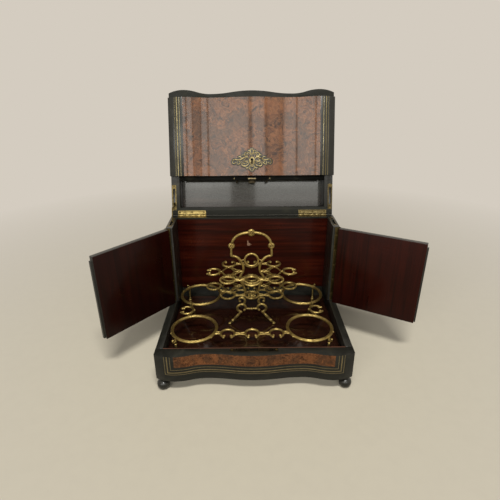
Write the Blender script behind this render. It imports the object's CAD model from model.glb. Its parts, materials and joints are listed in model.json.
import json
import math

import bpy
from bpy.props import FloatProperty, FloatVectorProperty, IntProperty, PointerProperty
from mathutils import Matrix, Vector

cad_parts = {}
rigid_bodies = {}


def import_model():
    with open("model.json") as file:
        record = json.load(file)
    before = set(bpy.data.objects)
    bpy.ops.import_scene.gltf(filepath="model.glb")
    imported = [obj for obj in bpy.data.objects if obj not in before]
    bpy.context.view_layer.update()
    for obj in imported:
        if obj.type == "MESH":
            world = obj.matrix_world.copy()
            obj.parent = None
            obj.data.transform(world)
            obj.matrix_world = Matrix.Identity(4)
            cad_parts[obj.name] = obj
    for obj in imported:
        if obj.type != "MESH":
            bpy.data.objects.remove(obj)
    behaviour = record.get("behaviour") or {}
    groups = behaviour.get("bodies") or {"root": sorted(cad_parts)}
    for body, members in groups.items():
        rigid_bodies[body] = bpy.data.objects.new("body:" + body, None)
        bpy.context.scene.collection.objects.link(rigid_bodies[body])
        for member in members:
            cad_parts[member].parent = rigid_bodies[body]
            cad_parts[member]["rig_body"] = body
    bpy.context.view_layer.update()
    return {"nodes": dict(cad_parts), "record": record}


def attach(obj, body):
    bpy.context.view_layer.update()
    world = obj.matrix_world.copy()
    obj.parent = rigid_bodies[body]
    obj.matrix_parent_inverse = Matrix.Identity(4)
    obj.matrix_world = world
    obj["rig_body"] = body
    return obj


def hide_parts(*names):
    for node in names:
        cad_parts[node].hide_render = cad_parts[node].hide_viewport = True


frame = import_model()

bl_info = {
    "name": "Liqueur cabinet looks",
    "version": (1, 0, 0),
    "blender": (4, 5, 0),
    "location": "3D View > Sidebar > Cabinet",
    "description": "Woods, gilt stand, brass fittings and stage of a serpentine liqueur cabinet",
    "category": "Object",
}

MM = 0.001
WELD = 0.000004

# Places that the cabinet's pieces share, in millimetres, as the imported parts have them
FRONT = -117.5
BASE_TOP = 49.5
CASE_TOP = 206.5
LID_FOOT = 206.9
LID_AXIS = (117.7, 206.7)
DROP_AXIS = (-108.3, 206.7)
LID_OPEN = -107.0
DROP_FOLD = 90.0
PANEL_FOOT = 58.5
PANEL_SETBACK = 1.0
VENEER = 0.8
BURR_HALF = 132.0
BASE_BURR = 21.0
LEDGE_HALF = 160.0
KEYHOLE_UP = 30.5
KEYHOLE_R = 2.8
KEYHOLE_SLOT = 8.4
FOOT = 23.5
FOOT_X = 155.0
FOOT_Y = (-113.0, 107.0)
LID_HINGE_X = 121.0
LID_SCREW_STEP = 24.0
PLATE_X = 155.55
DOOR_LEAF = (156.6, 47.5)
DOOR_HEIGHT = 155.6
STRIKE_SCREW = (37.0, -107.25)
STAND_X = -3.0
TRAY_Y = -1.5
TRAY_TOP = 28.5
GALLERY_Z = 59.5
LOWER_Z = 110.5
UPPER_Z = 140.5
DECANTER = (101.0, 58.5)
DECANTER_R = 36.0
BAND_R = 41.5
HOLDER_R = 12.0
HOLDER_GAP = 80.0
PITCH = 42.0
ROW_Y = 32.0
SIDE_X = 69.0
GALLERY_ROW_Y = 75.0
GALLERY_SIDE_X = 122.0
ROSETTES = ((35.0, 163.0, 5.9), (-35.0, 163.0, 5.9), (0, 187.6, 6.7))

# Arcs of the serpentine front: end, half width, rise, middle, height there, and crest or hollow
ARCS = (
    (40, 40, 3.2, 0, 7.1, 1), (80, 40, 3.2, 80, 0.7, -1), (106.5, 26.5, 4.0, 80, 0.7, -1),
    (133, 26.5, 4.0, 133, 8.7, 1), (math.inf, 32, 8.7, 133, 8.7, 1),
)
# Lobes of bare wood on the back panel: X, Z, radius and squash
CHIP_Y = 104.5
CHIPS = (
    (-7.6, 148.6, 3.4, (1.1, 0.06, 1.0)), (-9.4, 154.0, 2.2, (0.6, 0.06, 1.5)), (-2.6, 148.0, 0.9, (1, 0.1, 1)),
)
# Windows and their rows of panes in metres: name, both edges and share of the window power
WINDOW_Y = -2.75
WINDOWS = (("left", -2.6, -0.17, 1.0), ("right", 0.06, 0.8, 1.0), ("far_right", 1.0, 1.9, 0.35))
PANES = ((0.8, 1.1, 0.3), (1.1, 1.25, 0.6), (1.25, 2.3, 1.0))
LAMP_COLOUR = (1.0, 0.995, 0.94)
# The photograph's view: place in metres, turns in degrees and lens
VIEW_AT = (-0.00819, -0.64671, 0.47205)
VIEW_TURNS = ((-0.24, "Z"), (90 - 24.11, "X"), (-0.39, "Z"))
VIEW_LENS = 28.85


def tone(red, green, blue):
    """Colour as a shader takes it, from the values that a picture shows."""
    found = []
    for value in (red, green, blue):
        share = value / 255
        found.append(share / 12.92 if share < 0.04045 else ((share + 0.055) / 1.055) ** 2.4)
    return tuple(found)


def dimmed(value, share):
    return tuple(part * share for part in value)


def colour(name, description, value):
    return FloatVectorProperty(
        name=name, description=description, subtype="COLOR", size=3, min=0, max=1, default=tone(*value),
    )


def length(name, description, value):
    return FloatProperty(
        name=name, description=description, unit="LENGTH", subtype="DISTANCE", min=0, default=value * MM,
    )


def number(name, description, value, high, low=0):
    return FloatProperty(name=name, description=description, min=low, max=high, default=value)


class CabinetWoods(bpy.types.PropertyGroup):
    """Colours and finish of the woods."""
    ebony: colour("Ebonized wood", "Body colour of the blackened wood", (34, 34, 29))
    ebony_worn: colour("Worn ebonized wood", "Colour where the black has thinned", (58, 56, 46))
    burr_dark: colour("Burr shadow", "Darkest colour in the burr veneer", (46, 27, 17))
    burr_mid: colour("Burr body", "Main colour of the burr veneer", (96, 58, 35))
    burr_light: colour("Burr light", "Palest colour in the burr veneer", (140, 92, 58))
    panel_dark: colour("Inside dark", "Dark streaks of the red mahogany", (26, 6, 3))
    panel_mid: colour("Inside body", "Main colour of the red mahogany", (54, 15, 7))
    panel_light: colour("Inside light", "Light streaks of the red mahogany", (82, 31, 16))
    tray_mid: colour("Tray body", "Main colour of the tray", (44, 21, 12))
    burr_size: length("Burr figure", "Size of the swirls in the burr veneer", 12.0)
    edge: length("Eased edge", "Rounding of the wooden edges", 0.5)


class CabinetMetals(bpy.types.PropertyGroup):
    """Colours of the metals."""
    gilt: colour("Gilt", "Bright gilding on the stand", (188, 165, 101))
    gilt_worn: colour("Worn gilt", "Darkened gilding in the hollows", (108, 88, 50))
    hinge: colour("Hinge brass", "Polished brass of the hinges", (138, 122, 78))
    aged: colour("Aged brass", "Dull brass of the fittings", (104, 90, 56))
    inlay: colour("Inlay brass", "Brass of the lines let into the wood", (136, 126, 94))
    roughness: number("Metal roughness", "Roughness of the gilding", 0.4, 1, 0.02)


class CabinetStand(bpy.types.PropertyGroup):
    """Sizes of the gilt stand's cast ornament."""
    bar: length("Bar radius", "Radius of the stand's main bars", 2.45)
    holder_bar: length("Holder bar radius", "Radius of the glass holders' bars", 2.1)
    link_bar: length("Link bar radius", "Radius of the thin links", 1.5)
    tip: length("Ball tip radius", "Radius of the balls that end the scrolls", 2.6)
    beads: IntProperty(
        name="Beads per ring", description="Beads round each ring of the lower tier", min=8, max=48, default=26,
    )
    petals: IntProperty(name="Petals", description="Petals of each rosette", min=5, max=16, default=9)


class CabinetStage(bpy.types.PropertyGroup):
    """Floor, surroundings and light."""
    floor: colour("Floor", "Colour of the floor near the cabinet", (213, 205, 188))
    wall: colour("Surroundings", "Colour behind the cabinet", (212, 204, 192))
    fill: number("Fill strength", "Light from all around", 0.09, 4)
    window: number("Window power", "Power of the window lights per square metre", 11.8, 100)
    top: number("Skylight power", "Power of the light from high in front", 38.0, 200)


def woods():
    return bpy.context.scene.cabinet_woods


def metals():
    return bpy.context.scene.cabinet_metals


def stand_sizes():
    return bpy.context.scene.cabinet_stand


# Selection and object helpers
def clear():
    if bpy.context.object and bpy.context.object.mode != "OBJECT":
        bpy.ops.object.mode_set(mode="OBJECT")
    bpy.ops.object.select_all(action="DESELECT")


def only(*things):
    """Select these objects and make the first one active."""
    clear()
    for thing in things:
        thing.select_set(True)
    bpy.context.view_layer.objects.active = things[0]


def edit(thing):
    """Open a mesh in edit mode with everything selected."""
    only(thing)
    bpy.ops.object.mode_set(mode="EDIT")
    bpy.ops.mesh.select_mode(type="VERT")
    bpy.ops.mesh.select_all(action="SELECT")


def leave_edit():
    bpy.ops.object.mode_set(mode="OBJECT")


def settle(thing):
    """Put the object's place, turn and size into its mesh."""
    only(thing)
    bpy.ops.object.transform_apply(location=True, rotation=True, scale=True)
    return thing


def smooth(thing, angle):
    only(thing)
    bpy.ops.object.shade_smooth_by_angle(angle=math.radians(angle))
    return thing


def named(thing, name):
    thing.name = name
    thing.data.name = name
    return thing


def joined(things, name):
    only(*things)
    if len(things) > 1:
        bpy.ops.object.join()
    return settle(named(bpy.context.view_layer.objects.active, name))


def weld():
    """In edit mode, merge doubles and turn the faces outwards."""
    bpy.ops.mesh.remove_doubles(threshold=WELD)
    bpy.ops.mesh.normals_make_consistent(inside=False)
    leave_edit()


def cleaned(thing, angle=38):
    edit(thing)
    weld()
    return smooth(thing, angle)


def add_modifier(thing, kind, **settings):
    """Add a modifier with these settings and apply it."""
    only(thing)
    modifier = thing.modifiers.new(kind.title(), kind)
    for key, value in settings.items():
        setattr(modifier, key, value)
    bpy.ops.object.modifier_apply(modifier=modifier.name)


def paint(thing, material):
    thing.data.materials.clear()
    thing.data.materials.append(material)


def paint_nodes(key, *nodes):
    """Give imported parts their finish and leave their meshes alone."""
    material = finish_for(key)
    for node in nodes:
        thing = frame["nodes"][node]
        if not thing.material_slots:
            thing.data.materials.append(material)
        for place in thing.material_slots:
            place.material = material


def hand_over(thing, body, slot, key, *nodes):
    """Finish a new piece: its colour, its body, its slot and the parts that it stands for."""
    settle(thing)
    paint(thing, finish_for(key))
    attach(thing, body)
    if nodes:
        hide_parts(*nodes)


def eased(key, *nodes, width=None, angle=50, flat=0.6):
    """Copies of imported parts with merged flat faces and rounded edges, which stand for them."""
    width = woods().edge if width is None else width * MM
    slots = {part["node"]: part["material_slot"] for part in frame["record"]["subparts"]}
    for node in nodes:
        source = frame["nodes"][node]
        thing = source.copy()
        thing.data = source.data.copy()
        for mark in list(thing.keys()):
            del thing[mark]
        thing.parent = None
        named(thing, node + "_eased")
        bpy.context.scene.collection.objects.link(thing)
        edit(thing)
        bpy.ops.mesh.remove_doubles(threshold=WELD / 2)
        bpy.ops.mesh.dissolve_limited(angle_limit=math.radians(flat))
        leave_edit()
        if width > 0:
            add_modifier(
                thing, "BEVEL", width=width, segments=2, limit_method="ANGLE",
                angle_limit=math.radians(angle), harden_normals=False, use_clamp_overlap=True,
            )
        smooth(thing, 32)
        hand_over(thing, source["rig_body"], slots[node], key, node)


# Shapes
def turned_about_x(point, axis, degrees):
    """Point in millimetres turned about an X line through (y, z)."""
    angle = math.radians(degrees)
    y = point[1] - axis[0]
    z = point[2] - axis[1]
    return (
        point[0],
        axis[0] + y * math.cos(angle) - z * math.sin(angle),
        axis[1] + y * math.sin(angle) + z * math.cos(angle),
    )


def open_lid(point):
    return turned_about_x(point, LID_AXIS, LID_OPEN)


def open_front(point):
    return open_lid(turned_about_x(point, DROP_AXIS, DROP_FOLD))


def turned_way(rule, way):
    """Direction after a rule that moves points."""
    return [b - a for a, b in zip(rule((0, 0, 0)), rule(way))]


def wave(x):
    """How far the serpentine front stands forward of its corners."""
    for end, half, rise, middle, height, turn in ARCS:
        if abs(x) < end:
            radius = (half ** 2 + rise ** 2) / (2 * rise)
            return height - turn * (radius - math.sqrt(max(radius ** 2 - (abs(x) - middle) ** 2, 0)))


def on_panel(x, up, proud):
    """Place on the folded drop front, from its closed foot upwards."""
    return open_front((x, FRONT + PANEL_SETBACK - wave(x) - proud, PANEL_FOOT + up))


def on_base(x, up, proud):
    return (x, FRONT - wave(x) - proud, up)


def laid(thing, rule):
    """Move each vertex of a piece by a rule, such as one that wraps a flat piece on the front."""
    for vertex in thing.data.vertices:
        vertex.co = Vector(rule(*(value / MM for value in vertex.co))) * MM
    return thing


def added(kind, scale=(1, 1, 1), **settings):
    """New mesh primitive with its place and size in its mesh."""
    clear()
    getattr(bpy.ops.mesh, "primitive_" + kind + "_add")(**settings)
    thing = bpy.context.object
    thing.scale = scale
    return settle(thing)


def cut_keyhole(thing):
    """Keyhole through a piece that is still flat: round above, slotted below."""
    eye = added("cylinder", vertices=28, radius=KEYHOLE_R * MM, depth=6 * MM, location=(0, KEYHOLE_UP * MM, 0))
    half = KEYHOLE_R / 2
    slot = eased_box((-half, KEYHOLE_UP - KEYHOLE_SLOT, -3.1), (half, KEYHOLE_UP, 3.1), 0.1)
    for cutter in (eye, slot):
        add_modifier(thing, "BOOLEAN", object=cutter, operation="DIFFERENCE", solver="EXACT")
        bpy.data.objects.remove(cutter)


def veneer_sheet(low, high, name, rule, keyhole=False):
    """Thin burr sheet, drawn flat on a fine grid and then laid on the wavy front."""
    thing = added(
        "grid", (2 * BURR_HALF * MM, (high - low) * MM, 1), x_subdivisions=176, y_subdivisions=8, size=1,
        location=(0, (low + high) / 2 * MM, 0),
    )
    add_modifier(named(thing, name), "SOLIDIFY", thickness=VENEER * MM, offset=-1)
    if keyhole:
        cut_keyhole(thing)
    return smooth(laid(thing, rule), 30)


def new_line(kind):
    """Curve object with one empty spline."""
    clear()
    bpy.ops.curve.primitive_bezier_curve_add(location=(0, 0, 0))
    thing = bpy.context.object
    thing.data.splines.clear()
    thing.data.dimensions = "3D"
    return thing, thing.data.splines.new(kind)


def as_mesh(thing):
    only(thing)
    bpy.ops.object.convert(target="MESH")
    return bpy.context.object


def bar(points, radii, closed=False, fine=4, sides=3):
    """Round bar through points in millimetres, with its radius at each of them."""
    thing, line = new_line("BEZIER")
    line.bezier_points.add(len(points) - 1)
    for place, point, radius in zip(line.bezier_points, points, radii):
        place.co = Vector(point) * MM
        place.handle_left_type = "AUTO"
        place.handle_right_type = "AUTO"
        place.radius = radius
    line.use_cyclic_u = closed
    line.resolution_u = fine
    thing.data.bevel_depth = MM
    thing.data.bevel_resolution = sides
    thing.data.use_fill_caps = not closed
    return as_mesh(thing)


def bead(at, radius, squash=(1, 1, 1), segments=14, rings=9):
    return added(
        "uv_sphere", squash, segments=segments, ring_count=rings, radius=radius * MM, location=Vector(at) * MM,
    )


def small_bead(at, radius, squash=(1, 1, 0.8)):
    return bead(at, radius, squash, 10, 7)


def shift(at):
    return Matrix.Translation(Vector(at) * MM)


def stood(thing, at, upright):
    """Move a round piece to its place, turned to face forwards if it is upright."""
    if upright:
        thing.data.transform(Matrix.Rotation(math.pi / 2, 4, "X"))
    thing.data.transform(shift(at))
    return thing


def lathe(profile, at, steps=40, upright=False):
    """Turned shape from (radius, height) points in millimetres, standing at a place."""
    thing, line = new_line("POLY")
    line.points.add(len(profile) - 1)
    for place, (radius, height) in zip(line.points, profile):
        place.co = (radius * MM, 0, height * MM, 1)
    thing = as_mesh(thing)
    edit(thing)
    bpy.ops.mesh.spin(steps=steps, angle=math.tau, center=(0, 0, 0), axis=(0, 0, 1))
    bpy.ops.mesh.select_all(action="SELECT")
    weld()
    return stood(thing, at, upright)


def ring(at, radius, thick, squash=1.0, upright=False):
    thing = added(
        "torus", (1, 1, squash), major_radius=radius * MM, minor_radius=thick * MM,
        major_segments=44, minor_segments=12,
    )
    return stood(thing, at, upright)


def twin(thing, matrix):
    """Copy with its own mesh, moved by a matrix."""
    other = thing.copy()
    other.data = thing.data.copy()
    bpy.context.scene.collection.objects.link(other)
    other.data.transform(matrix)
    if matrix.determinant() < 0:
        other.data.flip_normals()
    return other


def mirrored(thing):
    return twin(thing, Matrix.Scale(-1, 4, (1, 0, 0)))


def eased_box(low, high, width):
    """Small plate between two corners in millimetres, with rounded edges."""
    size = Vector(high) - Vector(low)
    thing = added("cube", size * MM, size=1, location=(Vector(low) + size / 2) * MM)
    add_modifier(thing, "BEVEL", width=width * MM, segments=2, limit_method="ANGLE")
    return thing


# Materials
class Nodes:
    """Short calls for one node tree, where a value is a number, a colour or another socket."""

    def __init__(self, tree):
        self.tree = tree

    def feed(self, socket, value):
        if isinstance(value, bpy.types.NodeSocket):
            self.tree.links.new(value, socket)
        elif socket.type == "RGBA":
            socket.default_value = (*value, 1.0)
        else:
            socket.default_value = value

    def put(self, kind, values=None, output=0, **settings):
        """Add a node, feed its inputs and hand back one of its outputs."""
        node = self.tree.nodes.new("ShaderNode" + kind)
        for key, value in settings.items():
            setattr(node, key, value)
        for key, value in (values or {}).items():
            self.feed(node.inputs[key], value)
        return node.outputs[output] if len(node.outputs) else None

    def place(self):
        return self.put("TexCoord", output="Object")

    def placed(self, scale=(1, 1, 1)):
        return self.put("Mapping", {"Vector": self.place(), "Scale": scale})

    def across(self, axis):
        return self.put("SeparateXYZ", {"Vector": self.place()}, axis)

    def noise(self, vector, scale, detail, rough, distortion=0.0, output="Fac"):
        values = {"Vector": vector, "Scale": scale, "Detail": detail, "Roughness": rough, "Distortion": distortion}
        return self.put("TexNoise", values, output)

    def ramp(self, source, *stops):
        """Colour ramp with (position, colour) stops."""
        shade = self.put("ValToRGB", {"Fac": source})
        places = shade.node.color_ramp.elements
        while len(places) < len(stops):
            places.new(0.5)
        for place, (position, value) in zip(places, stops):
            place.position = position
            place.color = (*value, 1.0)
        return shade

    def level(self, source, low, high, new_low, new_high):
        values = {"Value": source, "From Min": low, "From Max": high, "To Min": new_low, "To Max": new_high}
        return self.put("MapRange", values)

    def mix(self, share, a, b):
        return self.put("Mix", {0: share, 6: a, 7: b}, 2, data_type="RGBA")

    def calc(self, how, a, b):
        return self.put("Math", {0: a, 1: b}, operation=how)

    def seen(self):
        """One for the rays that see the surroundings: the camera's, reflected ones and those through glass."""
        rays = self.put("LightPath").node.outputs
        share = self.calc("MAXIMUM", rays["Is Camera Ray"], rays["Is Glossy Ray"])
        return self.calc("MAXIMUM", share, rays["Is Transmission Ray"])


class Finish(Nodes):
    """Material in the making, with what is the same all over set on the shader itself."""

    def __init__(self, name, roughness, metallic=0.0, coat=0.0, coat_roughness=0.1, shine=0.5):
        self.material = bpy.data.materials.new(name)
        self.material.use_nodes = True
        super().__init__(self.material.node_tree)
        self.inputs = self.tree.nodes["Principled BSDF"].inputs
        self.inputs["Metallic"].default_value = metallic
        self.inputs["Roughness"].default_value = roughness
        self.inputs["Coat Weight"].default_value = coat
        self.inputs["Coat Roughness"].default_value = coat_roughness
        self.inputs["Specular IOR Level"].default_value = shine

    def done(self, shade, rough, height, strength, depth):
        """Link the colour, the roughness and the fine relief."""
        relief = self.put("Bump", {"Strength": strength, "Distance": depth * MM, "Height": height})
        self.feed(self.inputs["Base Color"], shade)
        self.feed(self.inputs["Roughness"], rough)
        self.feed(self.inputs["Normal"], relief)
        return self.material


def along(axis, share):
    """Scale that draws a pattern out along one axis."""
    return [share if index == axis else 1.0 for index in range(3)]


def ebonized(name, stretch=(1, 1, 1), roughness=0.36, coat=0.3, lift=1.0, shine=0.4):
    """Blackened wood under old polish, with faint grain and thin worn spots."""
    f = Finish(name, roughness, 0.0, coat, 0.16, shine)
    grain = f.noise(f.placed(stretch), 260, 6, 0.6)
    worn = f.noise(f.placed(), 38, 5, 0.62, 0.4)
    dust = f.noise(f.placed(), 900, 2, 0.5)
    base = dimmed(woods().ebony, lift)
    body = f.ramp(grain, (0.3, dimmed(base, 0.55)), (0.72, base))
    shade = f.mix(f.level(worn, 0.55, 0.78, 0.0, 0.75), body, woods().ebony_worn)
    rubbed = f.level(worn, 0.3, 0.7, roughness - 0.07, roughness + 0.1)
    rough = f.calc("ADD", rubbed, f.level(dust, 0.3, 0.7, -0.03, 0.03))
    return f.done(shade, rough, grain, 0.05, 0.1)


def burr(name, size, veil, coat, lift, shine):
    """Burr veneer: swirling figure, dark flecks and eyes, and pale islands under a thick polish."""
    w = woods()
    step = 1.0 / size
    reach = size * 2.4
    f = Finish(name, veil, 0.0, coat, 0.09, shine)
    where = f.placed()
    drift = f.noise(where, step * 0.5, 3.0, 0.5, output="Color")
    bent = f.put("VectorMath", {0: drift, 1: (reach, reach, reach), 2: where}, operation="MULTIPLY_ADD")
    swirl = f.noise(bent, step * 0.62, 6, 0.6, 1.2)
    fine = f.noise(bent, step * 4.5, 4, 0.6, 0.8)
    flecks = f.noise(bent, step * 1.15, 3, 0.55, 1.8)
    cloud = f.noise(where, step * 0.14, 3, 0.5, 0.6)
    islands = f.noise(bent, step * 0.3, 3, 0.5, 0.8)
    dark, mid, light = (dimmed(value, lift) for value in (w.burr_dark, w.burr_mid, w.burr_light))
    shade = f.ramp(swirl, (0.3, mid), (0.42, light), (0.5, mid), (0.58, light), (0.7, mid))
    lines = f.calc("SINE", f.calc("MULTIPLY", swirl, 70.0), 0.0)
    shade = f.mix(f.level(lines, 0.2, 1.0, 0.0, 0.42), shade, dark)
    shade = f.mix(f.level(flecks, 0.54, 0.64, 0.0, 0.85), shade, dark)
    eyes = f.put("TexVoronoi", {"Vector": bent, "Scale": step * 0.85, "Randomness": 1.0}, "Distance", feature="F1")
    spot = f.level(eyes, 0.1, 0.26, 0.9, 0.0)
    gathered = f.calc("MULTIPLY", spot, f.level(cloud, 0.44, 0.56, 0.1, 1.0))
    shade = f.mix(gathered, shade, dimmed(dark, 0.6))
    shade = f.mix(f.level(fine, 0.5, 0.7, 0.0, 0.3), shade, dark)
    shade = f.mix(f.level(islands, 0.5, 0.6, 0.0, 0.5), shade, dimmed(tone(70, 52, 40), lift))
    shade = f.mix(f.level(islands, 0.46, 0.36, 0.0, 0.5), shade, dimmed(tone(140, 88, 54), lift))
    return f.done(shade, f.level(fine, 0.3, 0.7, veil - 0.05, veil + 0.08), flecks, 0.04, 0.15)


def mahogany(name, axis, dark, mid, light, roughness=0.3, coat=0.06, coat_roughness=0.1, shine=0.14):
    """Polished mahogany whose grain runs along one axis."""
    f = Finish(name, roughness, 0.0, coat, coat_roughness, shine)
    streaks = f.noise(f.placed(along(axis, 0.045)), 95, 7, 0.6, 0.7)
    pores = f.noise(f.placed(along(axis, 0.02)), 900, 3, 0.5)
    broad = f.noise(f.placed(), 13, 3, 0.55, 0.8)
    shade = f.ramp(streaks, (0.32, dark), (0.5, mid), (0.7, light))
    shade = f.mix(f.level(broad, 0.35, 0.7, 0.0, 0.6), shade, dimmed(mid, 0.45))
    shade = f.mix(f.level(pores, 0.55, 0.72, 0.0, 0.5), shade, dark)
    return f.done(shade, f.level(broad, 0.3, 0.7, roughness - 0.05, roughness + 0.1), pores, 0.06, 0.08)


def metal(name, bright, worn, roughness, grain=420.0, spread=(0.38, 0.62), scratch=0.1):
    """Cast or rolled metal with uneven tarnish."""
    f = Finish(name, roughness, 1.0)
    patches = f.noise(f.placed(), grain * 0.22, 5, 0.62, 0.5)
    specks = f.noise(f.placed(), grain, 3, 0.6)
    mixed = f.calc("ADD", f.calc("MULTIPLY", patches, 0.72), f.calc("MULTIPLY", specks, 0.28))
    shade = f.ramp(mixed, (spread[0], worn), (spread[1], bright))
    return f.done(shade, f.level(mixed, *spread, roughness + 0.16, roughness - 0.05), specks, scratch, 0.15)


def two_sided(name, left, right, worn):
    """Brass that is brighter on the cabinet's left than on its right."""
    f = Finish(name, 0.34, 1.0)
    patches = f.noise(f.placed(), 160, 5, 0.65, 0.4)
    scratches = f.noise(f.placed((1, 0.06, 1)), 1500, 2, 0.5)
    bright = f.mix(f.level(f.across("X"), -0.02, 0.02, 0.0, 1.0), left, right)
    shade = f.mix(f.level(patches, 0.45, 0.68, 0.0, 0.8), bright, worn)
    return f.done(shade, f.level(patches, 0.3, 0.7, 0.26, 0.48), scratches, 0.08, 0.08)


def layered(name, under, axis, low, high, over, share=1.0, speckled=False):
    """Copy of a finish that turns to another colour along one axis, evenly or in specks."""
    material = finish_for(under).copy()
    material.name = name
    f = Nodes(material.node_tree)
    face = f.tree.nodes["Principled BSDF"].inputs["Base Color"]
    amount = f.level(f.across(axis), low, high, 0.0, share)
    if speckled:
        specks = f.noise(f.placed(), 420, 4, 0.65)
        amount = f.calc("MULTIPLY", amount, f.level(specks, 0.36, 0.62, 0.2, 1.0))
    f.feed(face, f.mix(amount, face.links[0].from_socket, over))
    return material


def recipes():
    """Each finish by its key: the function that makes it, its material's name and its settings."""
    w = woods()
    m = metals()
    x = along(0, 0.05)
    z = along(2, 0.05)
    dark, mid = w.panel_dark, w.panel_mid
    return {
        "ebony": (ebonized, "ebonized_wood"),
        "ebony_x": (ebonized, "ebonized_along", x, 0.42, 0.1, 1.05, 0.28),
        "ebony_z": (ebonized, "ebonized_upright", z),
        "ebony_soft": (ebonized, "ebonized_soft", x, 0.6, 0.0, 1.25, 0.2),
        "ground": (ebonized, "ebonized_ground", (1, 1, 1), 0.4, 0.3, 1.8, 0.4),
        "tongue": (ebonized, "ebonized_tongue", x, 0.6, 0.0, 0.3, 0.08),
        "burr": (burr, "burr_panel", w.burr_size * 1.15, 0.2, 0.5, 0.97, 0.18),
        "burr_base": (burr, "burr_base_strip", w.burr_size * 0.6, 0.4, 0.05, 0.95, 0.12),
        "panel": (mahogany, "mahogany_inside", 0, dark, mid, w.panel_light),
        "left_door_inside": (
            mahogany, "mahogany_left_door", 2, dimmed(dark, 0.6), dimmed(mid, 0.45), dimmed(mid, 0.6),
        ),
        "right_door_inside": (mahogany, "mahogany_right_door", 2, dark, dimmed(mid, 0.85), mid),
        "back": (layered, "mahogany_back", "panel", "Y", 0.112, 0.1125, w.ebony),
        "tray": (mahogany, "mahogany_tray", 0, dark, w.tray_mid, tone(70, 38, 24), 0.16, 0.5, 0.04, 0.4),
        "field": (
            mahogany, "mahogany_lid_field", 0, tone(16, 9, 6), tone(30, 17, 12), tone(50, 30, 20),
            0.2, 0.8, 0.06, 0.25,
        ),
        "dusty_field": (
            layered, "mahogany_dusty_field", "field", "Z", 0.208, 0.262, tone(138, 144, 128), 0.3, True,
        ),
        "chip": (mahogany, "bare_wood", 2, tone(90, 60, 46), tone(140, 106, 86), tone(176, 142, 120), 0.6, 0.0),
        "lip": (
            mahogany, "mahogany_lip", 0, tone(70, 38, 28), tone(112, 70, 54), tone(140, 96, 78),
            0.4, 0.3, 0.1, 0.5,
        ),
        "gilt": (metal, "gilt_brass", m.gilt, m.gilt_worn, m.roughness, 640, (0.36, 0.6), 0.45),
        "gilt_low": (
            metal, "gilt_brass_dulled", dimmed(m.gilt, 0.78), dimmed(m.gilt_worn, 0.7), 0.46, 640,
            (0.38, 0.62), 0.5,
        ),
        "hinge": (metal, "hinge_brass", m.hinge, m.aged, 0.34, 300, (0.36, 0.56)),
        "leaves": (two_sided, "leaf_brass", tone(150, 132, 84), tone(104, 92, 62), tone(74, 64, 40)),
        "plates": (two_sided, "plate_brass", tone(112, 98, 64), tone(80, 70, 48), tone(58, 50, 32)),
        "aged": (metal, "aged_brass", m.aged, dimmed(m.aged, 0.4), 0.42, 300, (0.36, 0.6)),
        "inlay": (metal, "inlay_brass", m.inlay, dimmed(m.inlay, 0.55), 0.46, 420, (0.3, 0.6), 0.03),
        "inlay_base": (
            metal, "inlay_base_brass", tone(156, 142, 108), tone(110, 100, 76), 0.45, 420, (0.3, 0.6),
        ),
        "screw": (metal, "screw_brass", tone(120, 108, 82), tone(90, 80, 58), 0.35, 700, (0.3, 0.55)),
        "foliage": (metal, "foliage_brass", tone(166, 150, 108), tone(92, 80, 54), 0.4, 520, (0.38, 0.58)),
        "iron": (metal, "dark_iron", tone(66, 58, 44), tone(28, 24, 18), 0.45, 300),
    }


made = {}


def finish_for(key):
    """Each finish is made once, when it is first asked for."""
    if key not in made:
        maker, *settings = recipes()[key]
        made[key] = maker(*settings)
    return made[key]


# Wooden pieces
class CABINET_OT_base(bpy.types.Operator):
    """Base rails with eased edges, the burr strip and the brass lines let into them"""
    bl_idname = "cabinet.base"
    bl_label = "Base"

    def execute(self, context):
        eased("ebony_x", "base_front_rail", flat=0.03)
        eased("ebony", "base_side_rails")
        eased("ebony_x", "base_back_rail")
        strip = veneer_sheet(BASE_TOP - BASE_BURR, BASE_TOP, "base_burr_sheet", on_base)
        hand_over(strip, "case", "burr_walnut", "burr_base", "base_burr_strip")
        eased("inlay_base", "base_stringing", width=0, flat=0.03)
        eased("iron", "strike_plate", width=0.2)
        paint_nodes("lip", "rail_lip")
        paint_nodes("tray", "base_floor_board", "tray_bearers")
        return {"FINISHED"}


class CABINET_OT_feet(bpy.types.Operator):
    """Four turned bun feet"""
    bl_idname = "cabinet.feet"
    bl_label = "Bun feet"

    def execute(self, context):
        profile = [
            (0, 0), (7.6, 0), (7.8, -1.2), (7.4, -2.4), (6.3, -3.4), (5.6, -5.0), (5.8, -6.4), (7.2, -7.4),
            (9.2, -8.8), (10.4, -11.0), (10.8, -13.6), (10.7, -16.0), (10.0, -18.8), (8.6, -21.2),
            (6.8, -22.8), (5.0, -FOOT), (0, -FOOT),
        ]
        feet = [lathe(profile, (side * FOOT_X, y, 0)) for side in (1, -1) for y in FOOT_Y]
        hand_over(cleaned(joined(feet, "turned_feet")), "case", "ebonized_wood", "ebony", "bun_feet")
        return {"FINISHED"}


class CABINET_OT_case(bpy.types.Operator):
    """Back panel with its chip, lipping and ledge, and the two returns"""
    bl_idname = "cabinet.case"
    bl_label = "Case"

    def execute(self, context):
        eased("back", "back_panel", width=0.2)
        eased("ebony_x", "back_top_lipping", width=0.1)
        chips = [bead((x, CHIP_Y, z), radius, squash) for x, z, radius, squash in CHIPS]
        hand_over(joined(chips, "chipped_wood"), "case", "mahogany", "chip")
        low = (-LEDGE_HALF, LID_AXIS[0] - 0.6, CASE_TOP - 2.0)
        high = (LEDGE_HALF, LID_AXIS[0] + 2.5, CASE_TOP - 0.5)
        hand_over(named(eased_box(low, high, 0.2), "back_ledge"), "case", "ebonized_wood", "ebony_x")
        eased("ebony_z", "left_return", "right_return", width=0.4)
        return {"FINISHED"}


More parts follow.
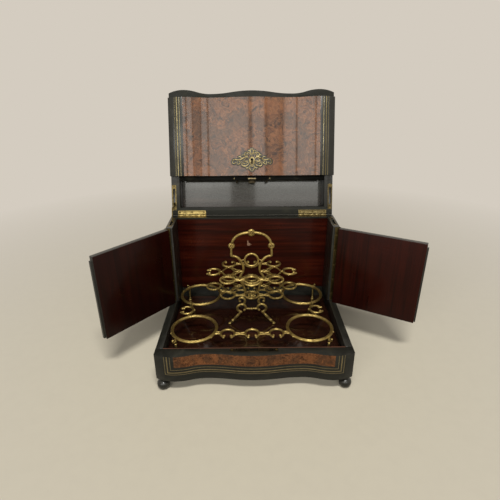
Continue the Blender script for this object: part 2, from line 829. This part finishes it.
class CABINET_OT_doors(bpy.types.Operator):
    """Both doors: ebonized boards, mahogany linings, burr panels and brass lines"""
    bl_idname = "cabinet.doors"
    bl_label = "Doors"

    def execute(self, context):
        for side in ("left_door_", "right_door_"):
            eased("ebony_z", side + "board")
            eased(side + "inside", side + "lining", width=0.3)
            paint_nodes("burr", side + "burr")
            paint_nodes("inlay", side + "stringing")
            paint_nodes("aged", side + "hinge_leaf")
        return {"FINISHED"}


class CABINET_OT_lid(bpy.types.Operator):
    """Lid board, rims, inside field, burr panel and brass line"""
    bl_idname = "cabinet.lid"
    bl_label = "Lid"

    def execute(self, context):
        eased("ebony_soft", "lid_top_board", width=0.6, angle=60, flat=0.03)
        eased("ebony_soft", "lid_front_rim", flat=0.03)
        eased("ebony_z", "lid_side_rims")
        eased("ebony_soft", "lid_back_rim", width=0.1)
        paint_nodes("dusty_field", "lid_field")
        paint_nodes("burr", "lid_top_burr")
        paint_nodes("inlay", "lid_top_stringing")
        return {"FINISHED"}


class CABINET_OT_drop_front(bpy.types.Operator):
    """Drop front: serpentine burr panel, ebonized sides, brass lines and the tongue below"""
    bl_idname = "cabinet.drop_front"
    bl_label = "Drop front"

    def execute(self, context):
        eased("ebony_z", "drop_front_board", width=0.4, flat=0.03)
        panel = veneer_sheet(0, CASE_TOP - PANEL_FOOT, "drop_front_burr_sheet", on_panel, keyhole=True)
        hand_over(panel, "drop_front", "burr_walnut", "burr", "drop_front_burr")
        eased("inlay", "drop_front_stringing", width=0, flat=0.03)
        eased("tongue", "lock_batten", width=0.4)
        paint_nodes("iron", "lock_case", "lock_selvedge", "guide_pins", "lock_bolt")
        return {"FINISHED"}


# Half of the escutcheon, from the keyhole outwards: scrolls with their radii, leaves with their
# root and belly radius, and beads
SCROLLS = (
    ([(1.2, 7.2), (5.2, 12.2), (10.6, 13.6), (14.4, 10.6), (13.2, 7.0), (10.4, 8.0)],
     (0.5, 1.0, 1.3, 1.1, 0.9, 0.9)),
    ([(0.0, 8.5), (3.0, 13.4), (2.2, 18.2), (0.0, 22.2)], (0.5, 1.2, 1.3, 0.3)),
    ([(5.0, 1.5), (10.0, 4.8), (16.0, 3.4), (21.6, 0.4), (28.0, -0.4), (34.2, 0.4), (38.2, -3.2),
      (36.4, -7.4), (32.6, -6.6)], (0.5, 1.2, 1.5, 1.3, 1.2, 1.2, 1.1, 1.0, 1.2)),
    ([(5.4, -1.0), (10.0, -3.6), (15.4, -3.2), (19.0, -4.6)], (0.5, 1.3, 1.3, 0.5)),
    ([(5.0, -4.0), (8.2, -10.2), (14.2, -12.6), (19.4, -10.0), (18.2, -6.6), (15.0, -7.8)],
     (0.5, 1.2, 1.4, 1.1, 0.9, 0.9)),
    ([(1.6, -11.4), (5.6, -14.4), (3.6, -18.2), (0.0, -23.6)], (0.5, 1.3, 1.2, 0.3)),
)
LEAF_TIP = 0.4
LEAVES = (
    ([(1.6, 15.0), (5.4, 17.4), (8.2, 16.4)], 0.5, 1.0), ([(11.0, 4.6), (15.0, 8.6), (20.6, 7.8)], 0.6, 1.3),
    ([(19.0, 1.6), (23.4, 5.2), (28.6, 4.0)], 0.6, 1.2), ([(20.0, -3.4), (24.6, -8.0), (29.8, -9.6)], 0.6, 1.4),
    ([(26.0, -2.0), (29.0, -5.6), (28.0, -8.8)], 0.5, 1.0), ([(5.2, -14.0), (9.6, -16.4), (12.4, -15.4)], 0.5, 1.1),
    ([(5.4, 8.6), (8.6, 10.8), (11.4, 11.0)], 0.5, 1.0), ([(7.0, 3.6), (9.4, 6.6), (8.4, 9.2)], 0.5, 1.0),
    ([(12.0, 3.0), (14.6, -0.6), (18.4, -1.2)], 0.5, 1.1), ([(8.0, -5.6), (11.2, -6.8), (12.4, -9.6)], 0.5, 1.0),
    ([(22.6, -0.6), (24.2, -3.6), (22.4, -6.4)], 0.5, 1.0),
)
BERRIES = ((32.8, -6.4, 1.7), (10.6, 8.2, 1.5), (15.2, -7.8, 1.6), (0, 12.0, 1.4), (0, -13.0, 1.6))


def leaf_stroke(points, radii, grow, flat, closed=False):
    """Flattened tapering stroke of the escutcheon, drawn in X and Y about the keyhole."""
    thing = bar([(x, y + KEYHOLE_UP, 0) for x, y in points], [radius + grow for radius in radii], closed, 5, 2)
    thing.data.transform(Matrix.Scale(flat, 4, (0, 0, 1)))
    return thing


class CABINET_OT_escutcheon(bpy.types.Operator):
    """Foliate brass escutcheon round the keyhole, wrapped on the serpentine front"""
    bl_idname = "cabinet.escutcheon"
    bl_label = "Escutcheon"

    def execute(self, context):
        half = [*SCROLLS, *((points, (root, belly, LEAF_TIP)) for points, root, belly in LEAVES)]
        eye_y = -2.6
        turns = [math.tau * step / 12 for step in range(12)]
        eye = [(5.0 * math.sin(turn), eye_y + 8.2 * math.cos(turn)) for turn in turns]
        layers = (
            (1.9, 0.08, 0.03, "escutcheon_outline", "ebonized_wood", "ground", "escutcheon_ground"),
            (0.0, 0.42, 0.08, "escutcheon_foliage", "brass", "foliage", "escutcheon"),
        )
        for grow, flat, thin, name, slot, finish, node in layers:
            plate = bead((0, KEYHOLE_UP + eye_y, 0), 7.6 + grow, (0.72, 1, thin), 36, 12)
            cut_keyhole(plate)
            things = [plate, leaf_stroke(eye, [0.95] * 12, grow * 0.5, flat, True)]
            for points, radii in half:
                stroke = leaf_stroke(points, radii, grow, flat)
                things += [stroke, mirrored(stroke)]
            for x, y, radius in BERRIES:
                for side in ((1, -1) if x else (1,)):
                    things.append(bead((side * x, y + KEYHOLE_UP, 0), radius + grow, (1, 1, flat), 10, 6))
            thing = cleaned(laid(joined(things, name), on_panel), 50)
            hand_over(thing, "drop_front", slot, finish, node)
        return {"FINISHED"}


def screw_head(radius):
    """Slotted countersunk head facing up at the origin."""
    thing = added("cylinder", vertices=20, radius=radius * MM, depth=0.8 * MM, location=(0, 0, -0.25 * MM))
    slot = radius * 0.13 * MM
    for place in (slot, -slot):
        edit(thing)
        bpy.ops.mesh.bisect(plane_co=(0, place, 0), plane_no=(0, 1, 0))
        leave_edit()
    for face in thing.data.polygons:
        face.select = face.normal.z > 0.9 and abs(face.center.y) < slot
    only(thing)
    bpy.ops.object.mode_set(mode="EDIT")
    bpy.ops.mesh.select_mode(type="FACE")
    bpy.ops.mesh.extrude_region_move(TRANSFORM_OT_translate={"value": (0, 0, -0.45 * MM)})
    leave_edit()
    return thing


def screw_heads(radius, places):
    """Heads at (point, outward direction, slot turn) places in millimetres."""
    pattern = screw_head(radius)
    heads = []
    for point, outward, turn in places:
        facing = Vector(outward).to_track_quat("Z", "Y").to_matrix().to_4x4()
        heads.append(twin(pattern, shift(point) @ facing @ Matrix.Rotation(math.radians(turn), 4, "Z")))
    bpy.data.objects.remove(pattern)
    return heads


class CABINET_OT_screws(bpy.types.Operator):
    """Slotted screws of the hinges, slotted plates, strike plate and tongue"""
    bl_idname = "cabinet.screws"
    bl_label = "Screws"

    def execute(self, context):
        case = []
        lid = []
        turns = (12, 75, 140, 33, 98, 160, 55)
        up = (0, 0, 1)
        lid_way = turned_way(open_lid, (0, 0, -1))
        count = 0
        for side in (1, -1):
            hinge = [(side * LID_HINGE_X + k * LID_SCREW_STEP, 7.0, 3) for k in (-1, 0, 1)]
            plate = [(side * PLATE_X, back, 2) for back in (14.0, 58.0)]
            for x, back, ahead in hinge + plate:
                y = LID_AXIS[0] - back
                case.append(((x, y, CASE_TOP), up, turns[count % 7]))
                lid.append((open_lid((x, y, LID_FOOT)), lid_way, turns[(count + ahead) % 7]))
                count += 1
            for k in range(5):
                z = BASE_TOP + 1.0 + DOOR_HEIGHT * (k + 0.5) / 5
                case.append(((side * DOOR_LEAF[0], DOOR_LEAF[1], z), (0, -1, 0), turns[count % 7]))
                count += 1
            case.append(((side * STRIKE_SCREW[0], STRIKE_SCREW[1], BASE_TOP), up, turns[count % 7]))
        for places, body, key in ((case, "case", "hinge"), (lid, "lid", "aged")):
            thing = smooth(joined(screw_heads(2.0, places), body + "_slotted_screws"), 30)
            hand_over(thing, body, "brass", key, body + "_screws")
        self.tongue()
        return {"FINISHED"}

    def tongue(self):
        """Small screws and a brass bit on the tongue."""
        way = turned_way(open_front, (0, -1, 0))
        places = [(open_front((side * 35.0, -112.5, BASE_TOP + 4.0)), way, 20 + 50 * side) for side in (1, -1)]
        bit = eased_box((-8.0, -112.9, BASE_TOP + 2.4), (8.0, -112.3, BASE_TOP + 5.0), 0.2)
        laid(bit, lambda *point: open_front(point))
        fittings = joined(screw_heads(1.3, places) + [bit], "tongue_fittings")
        hand_over(fittings, "drop_front", "brass", "screw")


class CABINET_OT_hinges(bpy.types.Operator):
    """Lid, door and drop-front hinges, their pins, the slotted plates and the stay"""
    bl_idname = "cabinet.hinges"
    bl_label = "Hinges and plates"

    def execute(self, context):
        eased("leaves", "lid_hinge_case_leaves", "lid_hinge_leaves", width=0.15)
        eased("aged", "piano_case_leaves", width=0.1)
        eased("plates", "return_plates", "lid_rim_plates", width=0.15)
        eased("hinge", "drop_hinge_leaves", width=0.1)
        eased("aged", "hinge_pins", width=0)
        eased("aged", "stay_lower_arm", "stay_upper_arm", width=0.2)
        return {"FINISHED"}


# The gilt stand
def around(x, y, radius, degrees, z):
    """Point on a circle about a place on the tray."""
    angle = math.radians(degrees)
    return (x + radius * math.cos(angle), TRAY_Y + y + radius * math.sin(angle), z)


def horseshoe(x, y, z, toward):
    """Open glass holder: a swelling bar, its tips curled in to balls, and beads at its back."""
    thick = stand_sizes().holder_bar / MM
    tip = stand_sizes().tip / MM * 0.92
    start = toward + HOLDER_GAP / 2
    sweep = 360 - HOLDER_GAP
    shares = [k / 14 for k in range(15)]
    places = [(HOLDER_R - 3.4, 3, 0.7), (HOLDER_R + 1.0, -9, 0.8)]
    places += [(HOLDER_R, sweep * share, 0.82 + 0.3 * math.sin(math.pi * share)) for share in shares]
    places += [(HOLDER_R + 1.0, sweep + 9, 0.8), (HOLDER_R - 3.4, sweep - 3, 0.7)]
    points = [around(x, y, radius, start + turn, z) for radius, turn, swell in places]
    things = [bar(points, [thick * swell for radius, turn, swell in places], fine=3, sides=2)]
    things += [bead(points[0], tip), bead(points[-1], tip)]
    things.append(small_bead(around(x, y, HOLDER_R + thick * 0.9, toward + 180, z), thick * 1.05, (1, 1, 1)))
    for side in (50, -50):
        things.append(small_bead(around(x, y, HOLDER_R, toward + 180 + side, z + thick * 0.35), thick * 0.95))
    return things


def beaded_ring(x, y, z):
    """Closed glass holder with a row of beads on its band."""
    thick = stand_sizes().holder_bar / MM
    count = stand_sizes().beads
    things = [ring((x, TRAY_Y + y, z), HOLDER_R, thick, 0.9)]
    for k in range(count):
        spot = around(x, y, HOLDER_R + thick * 0.55, 360 * k / count, z + thick * 0.62)
        things.append(bead(spot, thick * 0.5, segments=8, rings=5))
    return things


def thin_link(a, b, z, bow=0.0, thick=None):
    """Thin bar between two places, bowed along Y and slimmer at its middle."""
    thick = stand_sizes().link_bar / MM if thick is None else thick
    middle = ((a[0] + b[0]) / 2, (a[1] + b[1]) / 2 + bow)
    points = [(x, TRAY_Y + y, z) for x, y in (a, middle, b)]
    return [bar(points, [thick * 1.15, thick * 0.85, thick * 1.15], sides=2)]


def paired_link(side, y, z, slack):
    """Two bowed bars with a bead between them, from the middle holder to the next."""
    x0 = side * (HOLDER_R + slack)
    x1 = side * (PITCH - HOLDER_R - slack)
    things = thin_link((x0, y - 3.0), (x1, y - 3.0), z, 1.3)
    things += thin_link((x0, y + 3.0), (x1, y + 3.0), z, -1.3)
    things.append(bead(((x0 + x1) / 2, TRAY_Y + y, z), 2.0, (1.1, 1, 0.8)))
    return things


def side_turn(side):
    """Direction in which a holder on one side opens."""
    return 0.0 if side > 0 else 180.0


def cast(things, name, node, angle=50, finish="gilt"):
    """Join castings of the stand, move them to its place on the tray and finish them."""
    thing = cleaned(joined(things, name), angle)
    thing.data.transform(shift((STAND_X, 0, 0)))
    hand_over(thing, "tray", "gilt_brass", finish, node)


class CABINET_OT_decanter_rings(bpy.types.Operator):
    """Four reeded decanter rings"""
    bl_idname = "cabinet.decanter_rings"
    bl_label = "Decanter rings"

    def execute(self, context):
        band = [
            (0, -1.2), (0, 1.0), (0.4, 1.45), (1.0, 1.5), (1.4, 1.1), (1.7, 1.1), (2.2, 1.65), (3.0, 1.85),
            (3.8, 1.65), (4.2, 1.1), (4.5, 1.1), (4.9, 1.4), (5.35, 1.0), (5.5, 0.4), (5.5, -0.6),
            (5.1, -1.3), (4.3, -1.5), (0.4, -1.5), (0, -1.2),
        ]
        profile = [(DECANTER_R + out, up) for out, up in band]
        things = []
        for sx in (1, -1):
            for sy in (1, -1):
                x = sx * DECANTER[0]
                y = sy * DECANTER[1]
                things.append(lathe(profile, (x, TRAY_Y + y, GALLERY_Z), 72))
                for degrees in (20, 140, 260):
                    turn = degrees if sx > 0 else 180 - degrees
                    things.append(small_bead(around(x, y, BAND_R - 0.4, turn * sy, GALLERY_Z), 1.9, (1, 1, 0.85)))
        cast(things, "reeded_decanter_rings", "decanter_rings", 42)
        return {"FINISHED"}


class CABINET_OT_gallery(bpy.types.Operator):
    """Rows of open glass holders between the decanter rings"""
    bl_idname = "cabinet.gallery"
    bl_label = "Gallery"

    def execute(self, context):
        z = GALLERY_Z
        edge = DECANTER[0] - math.sqrt(BAND_R ** 2 - 16.5 ** 2)
        things = []
        for side in (1, -1):
            y = side * GALLERY_ROW_Y
            inner = y - side * 4.5
            for x in (-PITCH, 0, PITCH):
                things += horseshoe(x, y, z, 90.0 * side)
            for s in (1, -1):
                start = s * (PITCH + HOLDER_R + 0.4)
                things += paired_link(s, y, z, 0.6)
                things += thin_link((start, y), (s * (edge + 1.0), y), z, 0, 1.6)
                things += thin_link((start - s * 1.4, inner), (s * (edge - 0.5), inner), z, -side * 0.8, 1.5)
                things.append(bead(((start + s * edge) / 2, TRAY_Y + y - side * 2.2, z), 2.1, (1, 1, 0.8)))
        cast(things, "gallery_row_castings", "gallery_rows")
        things = []
        for s in (1, -1):
            things += horseshoe(s * GALLERY_SIDE_X, 0, z, side_turn(s))
            arm = s * (GALLERY_SIDE_X - 6.0)
            for v in (1, -1):
                steps = ((4.0, 8.5), (1.5, 14.0), (0, 20.5))
                points = [(arm - s * back, TRAY_Y + v * out, z) for back, out in steps]
                things.append(bar(points, [2.0, 1.7, 2.3], sides=2))
                things.append(bead((arm - s * 0.2, TRAY_Y + v * 19.0, z), 2.6, (1.2, 0.8, 0.8)))
        cast(things, "gallery_side_castings", "gallery_side_holders")
        return {"FINISHED"}


class CABINET_OT_legs(bpy.types.Operator):
    """Turned corner legs of the gallery, each with a small out-turned scroll"""
    bl_idname = "cabinet.legs"
    bl_label = "Gallery legs"

    def execute(self, context):
        profile = [
            (0, 0), (3.5, 0), (3.6, 0.7), (3.2, 1.4), (2.0, 1.8), (1.6, 2.8), (2.3, 3.8), (2.5, 4.8), (1.9, 5.8),
            (1.5, 7.0), (1.8, 12.0), (2.1, 17.0), (1.8, 20.0), (1.5, 21.0), (2.5, 22.0), (2.7, 22.8), (1.7, 23.6),
            (1.6, 25.0), (2.4, 26.6), (2.6, 28.0), (2.3, 29.6), (1.8, 30.6), (2.0, 31.8), (1.6, 32.6), (0, 32.8),
        ]
        steps = ((0, -2.5), (2.0, -4.5), (3.8, -2.5), (3.4, 0.5))
        turn = math.radians(48.3)
        reach = BAND_R + 1.7
        things = []
        for sx in (1, -1):
            for sy in (1, -1):
                x = sx * (DECANTER[0] + reach * math.cos(turn))
                y = TRAY_Y + sy * (DECANTER[1] + reach * math.sin(turn))
                scroll = [(x + sx * out, y + sy * out, GALLERY_Z + up) for out, up in steps]
                things.append(lathe(profile, (x, y, TRAY_TOP), 20))
                things.append(bar(scroll, [1.3, 1.2, 1.1, 1.0], sides=2))
                things.append(bead(scroll[-1], 2.0))
        cast(things, "turned_gallery_legs", "gallery_legs", 45)
        return {"FINISHED"}


def rosette(x, up, radius):
    """Round boss with petals on both faces."""
    z = TRAY_TOP + up
    rim = [(0.7, 2.4), (0.92, 1.6), (1, 0.5)]
    edge = [(radius * share, -half) for share, half in rim] + [(radius * share, half) for share, half in rim[::-1]]
    things = [lathe([(0, -2.4), *edge, (0, 2.4)], (x, TRAY_Y, z), 32, True)]
    petals = stand_sizes().petals
    for face in (1, -1):
        things.append(bead((x, TRAY_Y + face * 2.5, z), radius * 0.27, (1, 0.8, 1), 12, 8))
        for k in range(petals):
            angle = math.tau * k / petals
            across = radius * 0.58 * math.cos(angle)
            above = radius * 0.58 * math.sin(angle)
            things.append(small_bead((x + across, TRAY_Y + face * 2.1, z + above), radius * 0.24, (1, 0.75, 1)))
    return things


# Half of the lyre in X and height above the tray: bars with their radii as shares of the main bar,
# and beads with their radii and squash
LYRE_BARS = (
    ([(42.5, 1.6), (39.6, 4.2), (36.4, 7.6)], (0.9, 0.75, 1.1)),
    ([(36.4, 7.6), (32.6, 12.2), (28.6, 16.8), (24.6, 21.6), (20.0, 27.0)], (0.8, 1.0, 1.25, 0.95, 0.85)),
    ([(20.0, 27.0), (25.6, 30.4), (27.2, 36.0), (23.4, 41.6), (16.6, 43.2), (12.0, 39.4), (11.0, 34.6),
      (13.6, 31.0)], (0.85, 1, 1.05, 1.05, 1.05, 0.95, 0.85, 0.7)),
    ([(16.4, 43.3), (12.8, 48.8), (13.6, 54.6), (18.6, 57.8), (23.4, 55.0), (22.6, 50.6)],
     (0.95, 1, 1, 0.95, 0.85, 0.7)),
    ([(0, 33.6), (6.0, 33.9), (11.3, 34.4)], (0.95, 0.8, 0.95)),
    ([(15.2, 56.6), (12.4, 65.0), (12.6, 74.0), (16.8, 88.0), (21.2, 100.0), (18.4, 107.5), (14.8, 114.0),
      (15.2, 124.0), (18.8, 132.8)], (0.9, 0.85, 0.9, 1, 1.1, 1, 0.95, 0.95, 1)),
    ([(18.8, 132.8), (23.6, 139.4), (29.4, 142.6), (35.0, 144.4), (35.6, 151.0), (35.0, 163.0)],
     (1, 0.95, 0.9, 1.1, 0.9, 0.95)),
    ([(20.4, 96.6), (15.6, 89.0), (8.0, 84.4), (0, 83.0)], (1, 0.95, 0.95, 1.05)),
)
LYRE_HANDLE = ([(35.0, 163.0), (33.0, 171.4), (27.6, 179.4), (19.0, 184.8), (9.6, 187.3), (0, 187.8)],
               (0.95, 1, 1, 1, 1, 0.95))
LYRE_TIPS = ((13.8, 31.0, 1.0), (20.2, 26.6, 1.1), (22.4, 50.4, 1.0))
LYRE_BEADS = (
    (36.2, 7.8, 3.3, (1, 1, 1)), (33.8, 10.6, 2.5, (1, 1, 1)), (26.0, 19.9, 2.9, (1, 1, 1)),
    (42.3, 1.6, 2.6, (1.3, 1.3, 0.6)), (35.2, 144.4, 2.6, (1.1, 1, 0.8)),
)
LYRE_MIDDLE = ((33.6, 2.9, (1.3, 1, 0.9)), (82.4, 3.2, (1.1, 1, 0.8)))


class CABINET_OT_lyre(bpy.types.Operator):
    """Lyre-shaped centre of the stand with its scrolls, small ring, rosettes and handle"""
    bl_idname = "cabinet.lyre"
    bl_label = "Lyre stand"

    def execute(self, context):
        thick = stand_sizes().bar / MM
        tip = stand_sizes().tip / MM

        def upright(x, up):
            return (x, TRAY_Y, TRAY_TOP + up)

        def stroke(points, shares, fine=4):
            return bar([upright(*point) for point in points], [thick * share for share in shares], fine=fine)

        half = [stroke(points, shares) for points, shares in LYRE_BARS]
        half.append(stroke(*LYRE_HANDLE, fine=5))
        ears = [upright(*point) for point in ((10.6, 136.0), (15.0, 135.4), (19.4, 134.0))]
        half.append(bar(ears, [1.4, 1.2, 1.4], sides=2))
        half += [bead(upright(x, up), tip * share) for x, up, share in LYRE_TIPS]
        half += [bead(upright(x, up), radius, squash) for x, up, radius, squash in LYRE_BEADS]
        things = half + [mirrored(part) for part in half]
        things.append(ring(upright(0, 135.4), 11.9, 2.0, upright=True))
        things += [bead(upright(0, up), radius, squash) for up, radius, squash in LYRE_MIDDLE]
        for x, up, radius in ROSETTES:
            things += rosette(x, up, radius)
        cast(things, "lyre_casting", "lyre_stand")
        return {"FINISHED"}


def tier_arms(z):
    """Links that carry a tier's holders from the lyre."""
    near = PITCH - HOLDER_R
    far = PITCH + HOLDER_R
    things = []
    for sy in (1, -1):
        inner = sy * (ROW_Y - HOLDER_R)
        for s in (1, -1):
            things += paired_link(s, sy * ROW_Y, z, 0.4)
            things += thin_link((s * PITCH, inner), (s * near, 0), z, sy * 1.5)
            things += thin_link((s * PITCH, inner), (s * far, 0), z, sy * 1.5)
            things.append(bead((s * PITCH, TRAY_Y + inner, z), 2.4, (1.2, 1, 0.8)))
    for s in (1, -1):
        for x0, x1 in ((15.5, near), (far, SIDE_X - HOLDER_R)):
            things.append(bar([(s * x0, TRAY_Y, z), (s * x1, TRAY_Y, z)], [1.9, 1.7], sides=2))
        for x in (near, far):
            things.append(bead((s * x, TRAY_Y, z), 2.3, (1, 1, 0.8)))
        for x, y, radius in ((19.0, 0, 3.0), (22.5, 3.2, 2.5), (22.5, -3.2, 2.5), (26.0, 0, 2.2)):
            things.append(bead((s * x, TRAY_Y + y, z + 0.8), radius, (1.25, 1, 0.75)))
        for v in (1, -1):
            leaf = [(s * x, TRAY_Y + v * y, z) for x, y in ((24.0, 3.0), (28.5, 8.5), (35.0, 14.5))]
            things.append(bar(leaf, [1.9, 1.3, 1.7], sides=2))
            things.append(bead(leaf[1], 1.9, (1, 1, 0.8)))
    return things


def chased_boss(x, y, z):
    """Flower of lobes inside a holder, tied to its ring by short bars."""
    things = [bead((x, TRAY_Y + y, z), 3.0, (1, 1, 0.7))]
    things += [small_bead(around(x, y, 5.6, 360 * k / 7, z), 2.5, (1, 1, 0.6)) for k in range(7)]
    for turn in (45, 135, 225, 315):
        tie = [around(x, y, 6.0, turn, z), around(x, y, HOLDER_R, turn, z + 0.5)]
        things.append(bar(tie, [1.2, 1.3], sides=2))
    return things


class CABINET_OT_tiers(bpy.types.Operator):
    """Two openwork tiers of glass holders"""
    bl_idname = "cabinet.tiers"
    bl_label = "Tiers"

    def execute(self, context):
        for z, closed, name in ((UPPER_Z, False, "upper_tier"), (LOWER_Z, True, "lower_tier")):
            things = tier_arms(z)
            for sy in (1, -1):
                for x in (-PITCH, 0, PITCH):
                    if closed or sy < 0:
                        things += beaded_ring(x, sy * ROW_Y, z)
                    else:
                        things += horseshoe(x, sy * ROW_Y, z, 90.0)
            for s in (1, -1):
                x = s * SIDE_X
                things += beaded_ring(x, 0, z) if closed else horseshoe(x, 0, z, side_turn(s))
            if closed:
                things += chased_boss(0, -ROW_Y, z - 1.0)
            cast(things, name + "_casting", name, finish="gilt_low" if closed else "gilt")
        return {"FINISHED"}


class CABINET_OT_tray(bpy.types.Operator):
    """Polished tray board that carries the stand"""
    bl_idname = "cabinet.tray"
    bl_label = "Tray"

    def execute(self, context):
        eased("tray", "tray_board", width=0.6)
        return {"FINISHED"}


def emptied(owner):
    """Tree of a new material or world without its first nodes."""
    owner.use_nodes = True
    owner.node_tree.nodes.clear()
    return Nodes(owner.node_tree)


class CABINET_OT_stage(bpy.types.Operator):
    """Pale floor and surroundings, soft light and the camera"""
    bl_idname = "cabinet.stage"
    bl_label = "Stage"

    def execute(self, context):
        stage = context.scene.cabinet_stage
        floor = added("plane", size=24, location=(0, 0, -FOOT * MM))
        floor.name = "studio_floor"
        edit(floor)
        bpy.ops.mesh.subdivide(number_cuts=7)
        leave_edit()
        paint(floor, self.floor_finish(stage))
        self.surroundings(context, stage)
        self.lights(stage)
        self.camera(context)
        return {"FINISHED"}

    def floor_finish(self, stage):
        """Plain floor near the cabinet that passes into the surroundings further off."""
        material = bpy.data.materials.new("studio_floor")
        f = emptied(material)
        speck = f.noise(f.placed(), 60, 3, 0.5)
        dirt = f.mix(f.level(speck, 0.4, 0.8, 0.0, 0.06), stage.floor, tone(170, 160, 148))
        plain = f.put("BsdfDiffuse", {"Color": dirt, "Roughness": 0.6})
        glow = f.put("Emission", {"Color": stage.wall, "Strength": 1.0})
        distance = f.put("VectorMath", {0: f.place()}, "Value", operation="LENGTH")
        share = f.calc("MULTIPLY", f.seen(), f.level(distance, 0.24, 1.3, 0.0, 1.0))
        f.put("OutputMaterial", {"Surface": f.put("MixShader", {0: share, 1: plain, 2: glow})})
        return material

    def surroundings(self, context, stage):
        world = bpy.data.worlds.new("studio_surroundings")
        context.scene.world = world
        f = emptied(world)
        lit = f.put("Background", {"Color": tone(250, 246, 240), "Strength": stage.fill})
        shown = f.put("Background", {"Color": stage.wall, "Strength": 1.0})
        f.put("OutputWorld", {"Surface": f.put("MixShader", {0: f.seen(), 1: lit, 2: shown})})

    def lights(self, stage):
        for name, low_x, high_x, window_share in WINDOWS:
            for count, (low, high, share) in enumerate(PANES):
                wide = high_x - low_x
                tall = high - low
                centre = ((low_x + high_x) / 2, WINDOW_Y, (low + high) / 2)
                power = stage.window * wide * tall * share * window_share
                self.area(name + "_panes_" + str(count), centre, (centre[0], 0, centre[2]), wide, tall, power)
        self.area("skylight", (0.1, -1.2, 2.3), (0, -0.1, 0), 0.8, 0.3, stage.top)

    def area(self, name, centre, target, wide, tall, power):
        clear()
        bpy.ops.object.light_add(type="AREA", location=centre)
        lamp = bpy.context.object
        lamp.name = name
        lamp.data.shape = "RECTANGLE"
        lamp.data.size = wide
        lamp.data.size_y = tall
        lamp.data.energy = power
        lamp.data.color = LAMP_COLOUR
        lamp.rotation_euler = (Vector(target) - Vector(centre)).to_track_quat("-Z", "Y").to_euler()

    def camera(self, context):
        clear()
        bpy.ops.object.camera_add()
        view = context.object
        view.name = "photo_view"
        view.data.lens = VIEW_LENS
        view.data.sensor_width = 36.0
        place = Matrix.Translation(VIEW_AT)
        for degrees, axis in VIEW_TURNS:
            place = place @ Matrix.Rotation(math.radians(degrees), 4, axis)
        view.matrix_world = place
        context.scene.camera = view
        context.scene.view_settings.view_transform = "Standard"


class CABINET_PT_panel(bpy.types.Panel):
    """Pieces of the cabinet and their settings"""
    bl_label = "Liqueur cabinet"
    bl_idname = "CABINET_PT_panel"
    bl_space_type = "VIEW_3D"
    bl_region_type = "UI"
    bl_category = "Cabinet"

    def draw(self, context):
        layout = self.layout
        for label, name, group in GROUPS:
            box = layout.box()
            box.label(text=label)
            settings = getattr(context.scene, name)
            for key in settings.bl_rna.properties.keys():
                if key not in ("rna_type", "name"):
                    box.prop(settings, key)
        column = layout.column(align=True)
        for operator in OPERATORS:
            column.operator(operator.bl_idname)


OPERATORS = (
    CABINET_OT_stage,
    CABINET_OT_base,
    CABINET_OT_feet,
    CABINET_OT_case,
    CABINET_OT_doors,
    CABINET_OT_lid,
    CABINET_OT_drop_front,
    CABINET_OT_escutcheon,
    CABINET_OT_hinges,
    CABINET_OT_screws,
    CABINET_OT_tray,
    CABINET_OT_decanter_rings,
    CABINET_OT_gallery,
    CABINET_OT_legs,
    CABINET_OT_lyre,
    CABINET_OT_tiers,
)
GROUPS = (
    ("Woods", "cabinet_woods", CabinetWoods),
    ("Metals", "cabinet_metals", CabinetMetals),
    ("Stand", "cabinet_stand", CabinetStand),
    ("Stage", "cabinet_stage", CabinetStage),
)


def register():
    for label, name, group in GROUPS:
        bpy.utils.register_class(group)
        setattr(bpy.types.Scene, name, PointerProperty(type=group))
    for operator in OPERATORS:
        bpy.utils.register_class(operator)
    bpy.utils.register_class(CABINET_PT_panel)


def unregister():
    bpy.utils.unregister_class(CABINET_PT_panel)
    for operator in reversed(OPERATORS):
        bpy.utils.unregister_class(operator)
    for label, name, group in reversed(GROUPS):
        delattr(bpy.types.Scene, name)
        bpy.utils.unregister_class(group)


def main():
    register()
    clear()
    for operator in OPERATORS:
        group, name = operator.bl_idname.split(".")
        getattr(getattr(bpy.ops, group), name)()
    clear()


if __name__ == "__main__":
    main()
